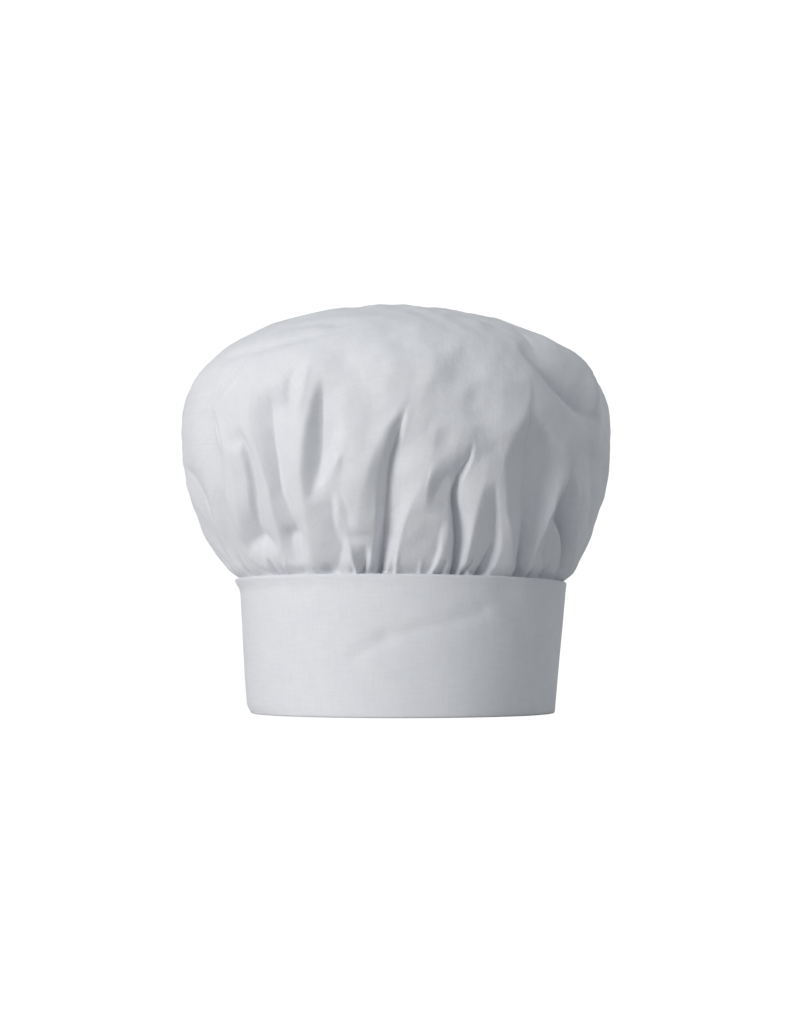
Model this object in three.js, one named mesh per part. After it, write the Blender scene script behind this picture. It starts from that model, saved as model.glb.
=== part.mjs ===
// A puffed kitchen hat: a tall band of doubled cotton, and a crown cut as one round of thin cloth,
// gathered into the band's top edge. The hat stands on the band's lower edge, with its front towards -Y.
// Millimetres, +Z up. The origin is on the surface that the band's lower edge rests on, under the middle
// of the puffed crown, which is the middle of the whole hat.
// An azimuth is in degrees, 0 at the front and 90 at the wearer's left, which is +X.

import * as THREE from "three";

// The band
const BAND_GIRTH = 600; // outside, and the same at every height, as on any straight strip
const BAND_HEIGHT = 78.5;
const BAND_DROP = 1.0; // how far its top edge falls from the middle to the right side
const BAND_WALL = 2.4; // two layers of cotton with an interlining
const BAND_SEGMENTS = 72;
// The half-width across the front view at each height, and how far the section's middle stands from the
// puff's, to the left-hand side of the head. The half-depth follows from the girth.
const BAND_SECTIONS = [
  { height: 0, halfWidth: 91.7, shift: 3.0 },
  { height: 26, halfWidth: 94.0, shift: 3.3 },
  { height: 52, halfWidth: 96.1, shift: 3.8 },
  { height: 69, halfWidth: 97.5, shift: 4.0 },
  { height: BAND_HEIGHT, halfWidth: 98.2, shift: 3.9 },
];
// The turned top edge stands out a little all round, and most at the right-hand side of the head.
const LIP_FROM = 69;
const LIP_OUT = 0.4;
const LIP_OUT_AT_SIDE = 2.4;
const LIP_SIDE_AZIMUTH = -90;

// The crown's plain form, before its folds
const CROWN_WALL = 1.6;
const CROWN_HALF_WIDTH = 129.4;
const WIDEST_HEIGHT = 167.8;
const TOP_HEIGHT = 243.3;
const UNDERSIDE_DROP = 140; // half-height of the ellipse that the lower part follows
const DOME_POWER_ACROSS = 1.75; // 2 with 2 would be an ellipse. Less across gives the crest a soft point,
const DOME_POWER_UP = 2.52; // and more upwards makes the shoulder full
const CREST_SHIFT = -3; // the crest leans to the right-hand side of the head
const SEAM_GAP = 0.3;
const TUCK = 10; // the seam allowance, which hides inside the band
const TURN_INSET = 0.4; // the cloth turns out over the band's top edge, this far in from its outside

// Rows of mesh round the crown by profile angle, from the seam to the crest
const CROWN_STRETCHES = [
  { from: -37.6, to: -6, rings: 8, segments: 180 },
  { from: 2, to: 48, rings: 6, segments: 90 },
  { from: 57, to: 80, rings: 3, segments: 45 },
];

// The small gathers that the seam draws up, which aren't quite even
const GATHERS = 68;
const GATHER_WANDER = 1.4; // radians, three times round the seam
const GATHER_DEPTH = 1.6;
const GATHER_HEIGHT = 28;

// The main folds. Each is a valley that climbs from its foot at the seam to its head, by way of its middle.
// lean carries the valley's floor sideways under the ridge beside it.
const FOLDS = [
  { foot: -83, middle: -78, head: -83, top: 70, depth: 6, width: 8, lean: 0 },
  { foot: -52, middle: -49, head: -43, top: 84, depth: 7, width: 9, lean: 1 },
  { foot: -35, middle: -34, head: -33, top: 102, depth: 7, width: 8, lean: 1 },
  { foot: -22, middle: -20.5, head: -18, top: 104, depth: 12, width: 9, lean: 1.5 },
  { foot: -7, middle: -4, head: 2, top: 88, depth: 13, width: 9, lean: 2 },
  { foot: 8, middle: 10.5, head: 12, top: 31, depth: 5, width: 5, lean: 0 },
  { foot: 17, middle: 14.5, head: 18, top: 71, depth: 14, width: 8, lean: 1.5 },
  { foot: 28.5, middle: 28, head: 25, top: 50, depth: 9, width: 7, lean: 0 },
  { foot: 42.5, middle: 38.5, head: 34, top: 101, depth: 11, width: 13, lean: 0 },
  { foot: 53, middle: 50, head: 47, top: 30, depth: 6, width: 6, lean: 0 },
  { foot: 65, middle: 55, head: 50, top: 60, depth: 10, width: 9, lean: 0 },
  { foot: 76, middle: 67, head: 58, top: 90, depth: 5, width: 9, lean: 0 },
  { foot: 91, middle: 88, head: 86, top: 78, depth: 9, width: 9, lean: 0 },
  { foot: 104, middle: 99, head: 95, top: 84, depth: 9, width: 9, lean: -1.5 },
  { foot: 116, middle: 117, head: 121, top: 66, depth: 11, width: 8, lean: 0 },
  { foot: 129, middle: 133, head: 134, top: 96, depth: 10, width: 10, lean: 1.5 },
  { foot: 143, middle: 144, head: 141, top: 48, depth: 7, width: 6, lean: 0 },
  { foot: 156, middle: 153, head: 155, top: 90, depth: 12, width: 9, lean: -2 },
  { foot: 168, middle: 169, head: 172, top: 58, depth: 9, width: 7, lean: 0 },
  { foot: 181, middle: 184, head: 181, top: 102, depth: 11, width: 10, lean: 2 },
  { foot: 194, middle: 196, head: 199, top: 54, depth: 9, width: 7, lean: 0 },
  { foot: 207, middle: 208, head: 213, top: 92, depth: 12, width: 9, lean: -2 },
  { foot: 220, middle: 223, head: 222, top: 74, depth: 9, width: 8, lean: 1 },
  { foot: 233, middle: 234, head: 231, top: 106, depth: 10, width: 10, lean: -1.5 },
  { foot: 245, middle: 247, head: 249, top: 62, depth: 10, width: 8, lean: 1.5 },
  { foot: 257, middle: 258, head: 260, top: 90, depth: 8, width: 9, lean: 0 },
];
const MAIN_FOLDS = FOLDS.filter((fold) => fold.top >= 60); // the mesh's columns slant with these
const FOLD_RISE = 18; // a fold reaches its full depth this far above the seam
const SEAM_DEPTH_SHARE = 0.12; // what is left of it at the seam
const PINCH = 0.5; // its width at the seam, against its width higher up
const VALLEY_POWER = 1.6; // under 2 the valley's floor is a crease

// Soft hollows in the puff. Each runs straight from one place on it to another.
const HOLLOWS = [
  { azimuth: 32, height: 201, toAzimuth: 57, toHeight: 156, width: 9, depth: 5 },
  { azimuth: -46, height: 199, toAzimuth: -57, toHeight: 168, width: 8, depth: 3.5 },
  { azimuth: -55, height: 205, toAzimuth: -18, toHeight: 212, width: 7, depth: 2.5 },
  { azimuth: -6, height: 196, toAzimuth: 9, toHeight: 172, width: 10, depth: 2.5 },
  { azimuth: 122, height: 202, toAzimuth: 150, toHeight: 214, width: 12, depth: 4 },
  { azimuth: 171, height: 205, toAzimuth: 196, toHeight: 182, width: 10, depth: 4 },
  { azimuth: -128, height: 186, toAzimuth: -108, toHeight: 212, width: 11, depth: 4 },
  { azimuth: 160, height: 236, toAzimuth: -150, toHeight: 232, width: 16, depth: 3 },
];

const COTTON_WHITE = 0xdfe2e8;

// How far a value has gone from 0 to 1, with soft ends.
const smooth = (from, to, x) => THREE.MathUtils.smoothstep(x, from, to);
const radians = THREE.MathUtils.degToRad;

// The band's section at a height, between the two sections about it.
function bandSection(height) {
  const next = BAND_SECTIONS.findIndex((s) => s.height >= height);
  const above = BAND_SECTIONS[next === -1 ? BAND_SECTIONS.length - 1 : Math.max(next, 1)];
  const below = BAND_SECTIONS[BAND_SECTIONS.indexOf(above) - 1];
  const share = (height - below.height) / (above.height - below.height);
  return {
    halfWidth: THREE.MathUtils.lerp(below.halfWidth, above.halfWidth, share),
    shift: THREE.MathUtils.lerp(below.shift, above.shift, share),
  };
}

// The half-depth that keeps an ellipse of that half-width at the band's girth.
function halfDepthOf(halfWidth) {
  return Math.sqrt(2 * (BAND_GIRTH / (2 * Math.PI)) ** 2 - halfWidth ** 2);
}

// How far the turned top edge stands out at a place on the band.
function lip(azimuth, height) {
  const toSide = Math.max(0, Math.cos(radians(azimuth - LIP_SIDE_AZIMUTH)));
  return (LIP_OUT + LIP_OUT_AT_SIDE * toSide ** 2) * smooth(LIP_FROM, BAND_HEIGHT, height) ** 2;
}

// How far the seam lies above or below its middle height at an azimuth.
const seamRise = (azimuth) => -BAND_DROP * Math.sin(radians(azimuth));

// A point of the band, a given depth in from its outside.
function bandPoint(azimuth, height, inwards) {
  const out = lip(azimuth, height) - inwards;
  const { halfWidth, shift } = bandSection(height);
  const a = radians(azimuth);
  return new THREE.Vector3(
    shift + (halfWidth + out) * Math.sin(a),
    -(halfDepthOf(halfWidth) + out) * Math.cos(a),
    height + (seamRise(azimuth) * height) / BAND_HEIGHT,
  );
}

// The crown's plain form at a profile angle: -90 to 0 under the widest ring, and 0 to 90 over it.
function profile(angle) {
  const a = radians(angle);
  if (angle < 0) {
    return {
      halfWidth: CROWN_HALF_WIDTH * Math.cos(a),
      height: WIDEST_HEIGHT + UNDERSIDE_DROP * Math.sin(a),
    };
  }
  return {
    halfWidth: CROWN_HALF_WIDTH * Math.max(0, Math.cos(a)) ** (2 / DOME_POWER_ACROSS),
    height: WIDEST_HEIGHT + (TOP_HEIGHT - WIDEST_HEIGHT) * Math.sin(a) ** (2 / DOME_POWER_UP),
  };
}

// How much of the seam's own place, oval and tilt the crown has at a height. None is left at its widest.
const seamShareAt = (height) => 1 - smooth(BAND_HEIGHT, WIDEST_HEIGHT, height);

// How far the crown's middle stands to the left-hand side of the head at a height.
function crownShift(height) {
  const crest = CREST_SHIFT * smooth(WIDEST_HEIGHT, TOP_HEIGHT, height) ** 3;
  return crest + bandSection(BAND_HEIGHT).shift * seamShareAt(height);
}

// The plain form as a point.
function plainPoint(azimuth, angle) {
  const { halfWidth, height } = profile(angle);
  const seamShare = seamShareAt(height);
  const seamHalfWidth = bandSection(BAND_HEIGHT).halfWidth;
  const depthShare = THREE.MathUtils.lerp(1, halfDepthOf(seamHalfWidth) / seamHalfWidth, seamShare);
  const a = radians(azimuth);
  return new THREE.Vector3(
    crownShift(height) + halfWidth * Math.sin(a),
    -halfWidth * depthShare * Math.cos(a),
    height + seamRise(azimuth) * seamShare,
  );
}

// The plain form's outward direction at a place, across its profile.
function outward(azimuth, angle) {
  const step = 0.5;
  const up = plainPoint(azimuth, angle + step).sub(plainPoint(azimuth, angle - step));
  const round = plainPoint(azimuth + step, angle).sub(plainPoint(azimuth - step, angle));
  return round.cross(up).normalize();
}

// How deep a small gather is drawn in at an azimuth, from 0 to 1.
function gatherShare(azimuth) {
  const a = radians(azimuth);
  return (1 - Math.cos(GATHERS * a + GATHER_WANDER * Math.sin(3 * a))) / 2;
}

// The azimuth of a fold's floor at a height above the seam: a parabola through its foot, middle and head.
function foldLine(fold, height) {
  const u = THREE.MathUtils.clamp(height / fold.top, 0, 1);
  return fold.foot * (1 - u) * (1 - 2 * u) + 4 * fold.middle * u * (1 - u) + fold.head * u * (2 * u - 1);
}

// The turn from one azimuth to another the short way round.
const turnBetween = (from, to) => THREE.MathUtils.euclideanModulo(to - from + 180, 360) - 180;

// The azimuth that a column of the mesh has at a height above the seam, if it starts at the one given.
// Its slant is between those of the main folds to either side of it, so no two columns cross.
function columnAzimuth(start, height) {
  const first = MAIN_FOLDS[0];
  const turned = first.foot + THREE.MathUtils.euclideanModulo(start - first.foot, 360);
  const next = MAIN_FOLDS.findIndex((fold) => fold.foot > turned);
  const before = MAIN_FOLDS.at(next === -1 ? -1 : next - 1);
  const after = next === -1 ? first : MAIN_FOLDS[next];
  const share = (turned - before.foot) / THREE.MathUtils.euclideanModulo(after.foot - before.foot, 360);
  const slant = (fold) => foldLine(fold, height) - fold.foot;
  return start + THREE.MathUtils.lerp(slant(before), slant(after), share);
}

// How deep the folds, the gathers and the hollows are at a place, and how far they carry it sideways.
function folding(azimuth, point) {
  const height = point.z - BAND_HEIGHT - seamRise(azimuth);
  const girthRadius = Math.hypot(point.x - crownShift(point.z), point.y);
  let inwards = 0;
  let sideways = 0;
  for (const fold of FOLDS) {
    const u = THREE.MathUtils.clamp(height / fold.top, 0, 1);
    const turn = turnBetween(foldLine(fold, height), azimuth);
    const width = fold.width * THREE.MathUtils.lerp(PINCH, 1, smooth(0, 40, height));
    const across = (radians(turn) * girthRadius) / width;
    const valley = Math.exp(-(Math.abs(across) ** VALLEY_POWER));
    const rise = THREE.MathUtils.lerp(SEAM_DEPTH_SHARE, 1, smooth(0, FOLD_RISE, height));
    const along = rise * (1 - u * u);
    inwards += fold.depth * along * valley;
    sideways += fold.lean * along * valley ** 2;
  }
  inwards += GATHER_DEPTH * gatherShare(azimuth) * (1 - smooth(0, GATHER_HEIGHT, height));
  for (const hollow of HOLLOWS) {
    const line = new THREE.Line3(
      placeOn(hollow.azimuth, hollow.height),
      placeOn(hollow.toAzimuth, hollow.toHeight),
    );
    const nearest = line.closestPointToPoint(point, true, new THREE.Vector3());
    inwards += hollow.depth * Math.exp(-point.distanceToSquared(nearest) / hollow.width ** 2);
  }
  return { inwards, sideways };
}

// The place on the plain form at an azimuth and a height.
function placeOn(azimuth, height) {
  const under = height < WIDEST_HEIGHT;
  const drop = (height - WIDEST_HEIGHT) / (under ? -UNDERSIDE_DROP : TOP_HEIGHT - WIDEST_HEIGHT);
  const sine = under ? -drop : drop ** (DOME_POWER_UP / 2);
  return plainPoint(azimuth, THREE.MathUtils.radToDeg(Math.asin(sine)));
}

// A point of the folded crown, on its outside or on its inside.
function crownPoint(azimuth, angle, inside) {
  const plain = plainPoint(azimuth, angle);
  const out = outward(azimuth, angle);
  const { inwards, sideways } = folding(azimuth, plain);
  // The wall keeps its thickness on the steep sides of a fold.
  const step = 1.5;
  const beside = folding(azimuth + step, plainPoint(azimuth + step, angle)).inwards;
  const slope = (beside - inwards) / (radians(step) * Math.hypot(plain.x, plain.y) + 1);
  const wall = CROWN_WALL * Math.min(1.6, Math.hypot(1, slope));
  const a = radians(azimuth);
  const round = new THREE.Vector3(Math.cos(a), Math.sin(a), 0);
  return plain.addScaledVector(out, -inwards - (inside ? wall : 0)).addScaledVector(round, sideways);
}

// A point of the seam allowance, which runs down inside the band.
function tuckPoint(azimuth, height, inside) {
  return bandPoint(azimuth, height, BAND_WALL + SEAM_GAP + (inside ? CROWN_WALL : 0));
}

// A point of the cloth where it turns out over the band's top edge.
function turnPoint(azimuth, inside) {
  const point = bandPoint(azimuth, BAND_HEIGHT, TURN_INSET + (inside ? CROWN_WALL / 2 : 0));
  point.z += 1.5 * SEAM_GAP + GATHER_DEPTH * gatherShare(azimuth) + (inside ? CROWN_WALL : 0);
  return point;
}

// A ring of points: pointAt gives each one from its azimuth.
function ring(segments, pointAt) {
  return Array.from({ length: segments }, (_, i) => pointAt((360 * i) / segments));
}

// One closed skin over a row of rings, where a ring has as many points as its neighbour, or half or twice
// as many, or one. The rings run so that the skin's outside faces out, and a ring list may close on itself.
function skinOver(rings, closed) {
  const points = rings.flat();
  const starts = rings.map((_, i) => rings.slice(0, i).reduce((n, r) => n + r.length, 0));
  const index = [];
  const joins = closed ? rings.length : rings.length - 1;
  for (let k = 0; k < joins; k++) {
    const next = (k + 1) % rings.length;
    const [low, high] = [rings[k].length, rings[next].length];
    const at = (ringAt, i, n) => starts[ringAt] + (((i % n) + n) % n);
    const cells = Math.min(low, high);
    for (let i = 0; i < Math.max(cells, low === 1 || high === 1 ? Math.max(low, high) : 0); i++) {
      if (high === 1) index.push(at(k, i, low), at(k, i + 1, low), starts[next]);
      else if (low === 1) index.push(starts[k], at(next, i + 1, high), at(next, i, high));
      else if (low === high) {
        index.push(at(k, i, low), at(k, i + 1, low), at(next, i + 1, high));
        index.push(at(k, i, low), at(next, i + 1, high), at(next, i, high));
      } else if (low > high) {
        index.push(at(k, 2 * i, low), at(k, 2 * i + 1, low), at(next, i, high));
        index.push(at(k, 2 * i + 1, low), at(next, i + 1, high), at(next, i, high));
        index.push(at(k, 2 * i + 1, low), at(k, 2 * i + 2, low), at(next, i + 1, high));
      } else {
        index.push(at(k, i, low), at(next, 2 * i + 1, high), at(next, 2 * i, high));
        index.push(at(k, i, low), at(k, i + 1, low), at(next, 2 * i + 1, high));
        index.push(at(k, i + 1, low), at(next, 2 * i + 2, high), at(next, 2 * i + 1, high));
      }
    }
  }
  const geometry = new THREE.BufferGeometry().setFromPoints(points);
  geometry.setIndex(index);
  geometry.computeVertexNormals();
  return geometry;
}

const cotton = (name) =>
  new THREE.MeshStandardMaterial({ name, color: COTTON_WHITE, roughness: 0.85, metalness: 0 });

function namedMesh(name, geometry, material) {
  const mesh = new THREE.Mesh(geometry, material);
  mesh.name = name;
  return mesh;
}

// The band: up its outside and down its inside, with flat edges.
function makeBand() {
  const heights = BAND_SECTIONS.map((s) => s.height);
  const wallRing = (height, inwards) => ring(BAND_SEGMENTS, (az) => bandPoint(az, height, inwards));
  const outside = heights.map((height) => wallRing(height, 0));
  const inside = heights.map((height) => wallRing(height, BAND_WALL)).reverse();
  return namedMesh("band", skinOver([...outside, ...inside], true), cotton("band_cotton"));
}

// The crown: up its outside from the seam allowance to the crest, and back down its inside.
function makeCrown() {
  const seamSegments = CROWN_STRETCHES[0].segments;
  const wall = (inside) => {
    const tuck = [
      ring(seamSegments / 2, (az) => tuckPoint(az, BAND_HEIGHT - TUCK, inside)),
      ring(seamSegments, (az) => tuckPoint(az, BAND_HEIGHT + SEAM_GAP, inside)),
      ring(seamSegments, (az) => turnPoint(az, inside)),
    ];
    const puff = CROWN_STRETCHES.flatMap(({ from, to, rings, segments }) =>
      Array.from({ length: rings }, (_, i) => {
        const angle = THREE.MathUtils.lerp(from, to, i / (rings - 1));
        const height = profile(angle).height - BAND_HEIGHT;
        return ring(segments, (az) => crownPoint(columnAzimuth(az, height), angle, inside));
      }),
    );
    return [...tuck, ...puff, [crownPoint(0, 89.9, inside)]];
  };
  return namedMesh("crown", skinOver([...wall(false), ...wall(true).reverse()], true), cotton("crown_cotton"));
}

const hat = new THREE.Group();
hat.name = "chef_hat";
hat.add(makeBand(), makeCrown());

export default hat;
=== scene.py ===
# %% [markdown]
# # A puffed kitchen hat
# The hat is two pieces of white poly-cotton: a tall band of doubled cloth, and a crown cut as one round of
# thinner cloth, gathered into the band's top edge so that it puffs. It stands on its band by itself.
# The lesson builds both pieces as surfaces worked out with numpy. The crown's folds are pushed into a
# round form line by line, because that follows a photograph more closely than cloth that falls by itself.
# Then the cloth gets its finish, and the hat is lit as in the photograph.

# %% Load the fixed frame
import math

import bpy
import numpy as np
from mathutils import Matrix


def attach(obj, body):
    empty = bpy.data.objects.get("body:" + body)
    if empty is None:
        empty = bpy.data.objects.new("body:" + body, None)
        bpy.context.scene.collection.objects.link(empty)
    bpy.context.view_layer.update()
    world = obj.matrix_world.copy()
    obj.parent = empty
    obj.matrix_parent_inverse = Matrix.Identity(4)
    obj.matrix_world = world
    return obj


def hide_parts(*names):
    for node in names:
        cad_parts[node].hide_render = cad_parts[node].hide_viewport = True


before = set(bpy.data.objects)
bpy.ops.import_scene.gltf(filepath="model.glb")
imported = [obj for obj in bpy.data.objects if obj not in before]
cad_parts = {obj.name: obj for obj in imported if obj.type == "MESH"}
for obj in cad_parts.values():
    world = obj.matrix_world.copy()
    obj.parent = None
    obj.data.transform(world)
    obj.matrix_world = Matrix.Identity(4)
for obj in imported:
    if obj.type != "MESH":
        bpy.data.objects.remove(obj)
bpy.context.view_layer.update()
MM = 0.001  # the tables below are in millimetres and degrees, and the meshes are in metres

# %% [markdown]
# ## Helpers for surfaces
# A piece of cloth is a grid: its columns go round the hat, and its rows go up it. Every formula below works
# on whole arrays of that grid at once. An azimuth is 0 at the front, which is -Y, and 90 at +X.


# %% Smooth steps and turns
def smooth(low, high, x):
    """0 up to low, 1 from high on, and 3t^2 - 2t^3 between them."""
    t = np.clip((x - low) / (high - low), 0, 1)
    return t * t * (3 - 2 * t)


def turn(start, end):
    """The turn in degrees from one azimuth to another, the short way round: -180 up to 180."""
    return (end - start + 180) % 360 - 180


def table(columns, rows):
    """A short table as a list of rows with named columns."""
    names = columns.split()
    return [dict(zip(names, row)) for row in rows]


# %% Turn a grid of points into a mesh
def grid_mesh(name, points, uv, pole=None, closed_section=False):
    """The mesh over points[row, column] in mm: quads between neighbours, joined round from the last column
    to the first, and from the last row to the first where the section is closed. A pole, as its place and
    its uv, is joined to the last row with a fan of triangles. uv[row, column] is in metres, with one column
    more than the points, and one row more round a closed section, so that a pattern meets itself."""
    rows, columns = points.shape[:2]
    flat = points.reshape(-1, 3)
    index = np.arange(rows * columns).reshape(rows, columns)
    if closed_section:
        index = np.vstack([index, index[:1]])
    beside = np.roll(index, -1, axis=1)
    faces = np.stack([index[:-1], beside[:-1], beside[1:], index[1:]], axis=-1).reshape(-1, 4).tolist()
    corners = [uv[:-1, :-1], uv[:-1, 1:], uv[1:, 1:], uv[1:, :-1]]
    face_uv = np.stack(corners, axis=2).reshape(-1, 2)
    if pole is not None:
        flat = np.vstack([flat, pole[0]])
        fan = np.stack([index[-1], beside[-1], np.full(columns, len(flat) - 1)], axis=-1)
        fan_uv = np.stack([uv[-1, :-1], uv[-1, 1:], np.broadcast_to(pole[1], (columns, 2))], axis=1)
        faces += fan.tolist()
        face_uv = np.vstack([face_uv, fan_uv.reshape(-1, 2)])
    mesh = bpy.data.meshes.new(name)
    mesh.from_pydata(flat * MM, [], faces)
    mesh.shade_smooth()
    layer = mesh.uv_layers.new(name="cloth")
    layer.uv.foreach_set("vector", face_uv.astype(np.float32).ravel())
    mesh.update()
    return mesh


def new_piece(name, mesh):
    """An object for the mesh, at the origin, because its place is in its mesh."""
    piece = bpy.data.objects.new(name, mesh)
    bpy.context.scene.collection.objects.link(piece)
    return piece


# %% [markdown]
# ## The band
# The real band is a straight strip sewn to a ring, so its girth is the same at every height. Seen from the
# front it widens a little upwards, so seen from the side it narrows by as much. It could be a cylinder with
# its top scaled, but that would change the girth. So its section is an oval carried up the height, and the
# girth gives the oval's depth. The turned edge at the top stands out a little.

# %% The band's sizes
BAND_GIRTH = 600
BAND_HEIGHT = 78.5
BAND_DROP = 1.0  # how far its top edge lies lower at +X, and higher at -X
BAND_WALL = 2.4  # two layers of cotton with an interlining between them
BAND_SECTIONS = table("height half_width shift", [
    (0, 91.7, 3.0),
    (26, 94.0, 3.3),
    (52, 96.1, 3.8),
    (69, 97.5, 4.0),
    (BAND_HEIGHT, 98.2, 3.9),
])
LIP_FROM = 68
LIP_EVEN, LIP_LEFT, LIP_FRONT = 0.4, 2.4, 0.5  # how far the top edge stands out: all round, and more there
HEM_CURL, HEM_CURL_TO = 1.8, 7  # how far the lower edge curls in at the left, and up to which height
EDGE_ROUND = 1.1
print("the band is", round(BAND_GIRTH / math.pi), "mm across on average")


# %% The band's form
def band_section(height):
    """Half-width, half-depth and sideways shift of the oval at a height. The half-depth keeps the girth:
    its square is twice the square of girth / 2 pi, less the square of the half-width."""
    heights = [s["height"] for s in BAND_SECTIONS]
    half_width = np.interp(height, heights, [s["half_width"] for s in BAND_SECTIONS])
    shift = np.interp(height, heights, [s["shift"] for s in BAND_SECTIONS])
    half_depth = np.sqrt(2 * (BAND_GIRTH / (2 * np.pi)) ** 2 - half_width ** 2)
    return half_width, half_depth, shift


def band_lip(azimuth, height):
    """How far the turned top edge stands out: most on the left of the front view, least on its right. It
    grows with the square of a smooth step from where the lip starts up to the edge."""
    left = np.clip(np.cos(np.radians(azimuth + 90)), 0, 1) ** 2
    front = np.clip(np.cos(np.radians(azimuth)), 0, 1)
    stands_out = LIP_EVEN + LIP_LEFT * left + LIP_FRONT * front
    return stands_out * smooth(LIP_FROM, BAND_HEIGHT, height) ** 2


def seam_rise(azimuth):
    """How far the seam lies above its middle height: minus the drop times the azimuth's sine."""
    return -BAND_DROP * np.sin(np.radians(azimuth))


# %% [markdown]
# A band that has been worn and washed isn't flat. The photograph shows a long soft crease that climbs to
# the right across its front. It and some others are hollows along short lines, on top of an even ripple.

# %% The hollows in the band
BAND_WAVES = table("azimuth height to_azimuth to_height width depth", [
    (-16, 33, -6, 43, 4.5, 0.9),
    (-6, 43, 27, 58, 4.5, 0.75),
    (12, 62, 40, 66, 6.0, 0.3),
    (38, 70, 62, 8, 11.0, 0.9),
    (-60, 60, -35, 20, 12.0, 0.35),
    (100, 20, 130, 55, 10.0, 0.6),
    (150, 60, 190, 40, 8.0, 0.5),
    (-130, 15, -100, 50, 10.0, 0.6),
])


def band_waves(azimuth, height):
    """How far in the hollows push the cloth. Each one lies along a short line on the unrolled strip, and
    fades with its distance as exp(-(distance / width)^2). The ripple is the sum of two sines, with 5 and
    11 turns round the hat."""
    inwards = 0.18 * np.sin(np.radians(azimuth * 5 + 40)) * np.sin(height / 17)
    inwards = inwards + 0.12 * np.sin(np.radians(azimuth * 11) + height / 23)
    around = BAND_GIRTH / 360
    for wave in BAND_WAVES:
        step_around = turn(wave["azimuth"], wave["to_azimuth"]) * around
        step = np.array([step_around, wave["to_height"] - wave["height"]])
        across = turn(wave["azimuth"], azimuth) * around
        up = height - wave["height"]
        share = np.clip((across * step[0] + up * step[1]) / (step @ step), 0, 1)
        distance = np.hypot(across - share * step[0], up - share * step[1])
        inwards = inwards + wave["depth"] * np.exp(-(distance / wave["width"]) ** 2)
    return inwards


def band_point(azimuth, height, inset):
    """Points of the band a given depth in from its outside: the oval at that height, moved in along its
    own radius."""
    half_width, half_depth, shift = band_section(height)
    left = np.clip(np.cos(np.radians(azimuth + 90)), 0, 1)
    curl = HEM_CURL * left ** 3 * (1 - smooth(0, HEM_CURL_TO, height)) ** 1.5
    out = band_lip(azimuth, height) - band_waves(azimuth, height) - curl - inset
    a = np.radians(azimuth)
    return np.stack([
        shift + (half_width + out) * np.sin(a),
        -(half_depth + out) * np.cos(a),
        height + seam_rise(azimuth) * height / BAND_HEIGHT,
    ], axis=-1)


# %% Make the band's mesh
BAND_STEP = 1.0  # degrees between the columns
SIDE_ROWS = 56
FOLD_STEPS = 9


def band_profile():
    """The wall's section as inset and height: up the outside, over the rounded top fold, down the inside
    and round the bottom fold. A fold is a half circle, drawn as inset = r - r cos t, height = r sin t."""
    half = BAND_WALL / 2
    t = np.linspace(0, np.pi, FOLD_STEPS)[1:-1]
    side = np.linspace(EDGE_ROUND, BAND_HEIGHT - EDGE_ROUND, SIDE_ROWS)
    rise = EDGE_ROUND * np.sin(t)
    top = np.stack([half - half * np.cos(t), BAND_HEIGHT - EDGE_ROUND + rise], axis=1)
    bottom = np.stack([half + half * np.cos(t), EDGE_ROUND - rise], axis=1)
    outside = np.stack([np.zeros_like(side), side], axis=1)
    inside = np.stack([np.full_like(side, BAND_WALL), side[::-1]], axis=1)
    return np.vstack([outside, top, inside, bottom])


def make_band():
    """The section carried round the hat. Its uv are metres round the strip and metres along the section."""
    section = band_profile()
    azimuth = np.arange(0, 360, BAND_STEP) + 180  # the join is at the back
    points = band_point(azimuth[None, :], section[:, 1, None], section[:, 0, None])
    girth = np.arange(0, 361, BAND_STEP) / 360 * BAND_GIRTH * MM
    steps = np.hypot(*np.diff(section, axis=0, append=section[:1]).T)
    along = np.concatenate([[0], np.cumsum(steps)]) * MM
    uv = np.stack(np.broadcast_arrays(girth[None, :], along[:, None]), axis=-1)
    return new_piece("band_cloth", grid_mesh("band_cloth", points, uv, closed_section=True))


band = make_band()
print("band:", len(band.data.polygons), "faces")

# %% [markdown]
# ## The crown's plain form
# The puff without its folds is a round form: under its widest ring it follows an ellipse, and over it a
# fuller, flatter curve. At the seam it takes the band's own oval. A sphere with its points moved would do
# for the form, but rows and columns of our own can stand closer where the folds are. Each fold then pushes
# the cloth in from this form, so the ridges between the folds keep its outline.

# %% The crown's sizes
CROWN_HALF_WIDTH = 129.4
WIDEST_HEIGHT = 167.8
TOP_HEIGHT = 243.3
UNDERSIDE_DROP = 140  # the half-height of the ellipse under the widest ring
DOME_POWER_ACROSS = 1.75
DOME_POWER_UP = 2.52
CREST_SHIFT = -3  # towards +X, so the crest leans the other way
SEAM_GAP = 0.3
TUCK = 10  # the seam allowance inside the band
SEAM_ANGLE = -40
print("the puff is", 2 * CROWN_HALF_WIDTH, "mm across, at", WIDEST_HEIGHT, "mm up")


# %% The plain form
def profile(angle):
    """Half-width and height at a profile angle, 0 at the widest ring and 90 at the crest. Under the ring
    they follow the angle's cosine and sine, as on an ellipse. Over it they follow the same to the powers
    2 / 1.75 and 2 / 2.52, which makes the curve fuller at its shoulder."""
    a = np.radians(angle)
    under = a < 0
    cosine = np.clip(np.cos(a), 0, 1)
    half_width = CROWN_HALF_WIDTH * np.where(under, cosine, cosine ** (2 / DOME_POWER_ACROSS))
    rise = (TOP_HEIGHT - WIDEST_HEIGHT) * np.abs(np.sin(a)) ** (2 / DOME_POWER_UP)
    return half_width, WIDEST_HEIGHT + np.where(under, UNDERSIDE_DROP * np.sin(a), rise)


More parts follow.
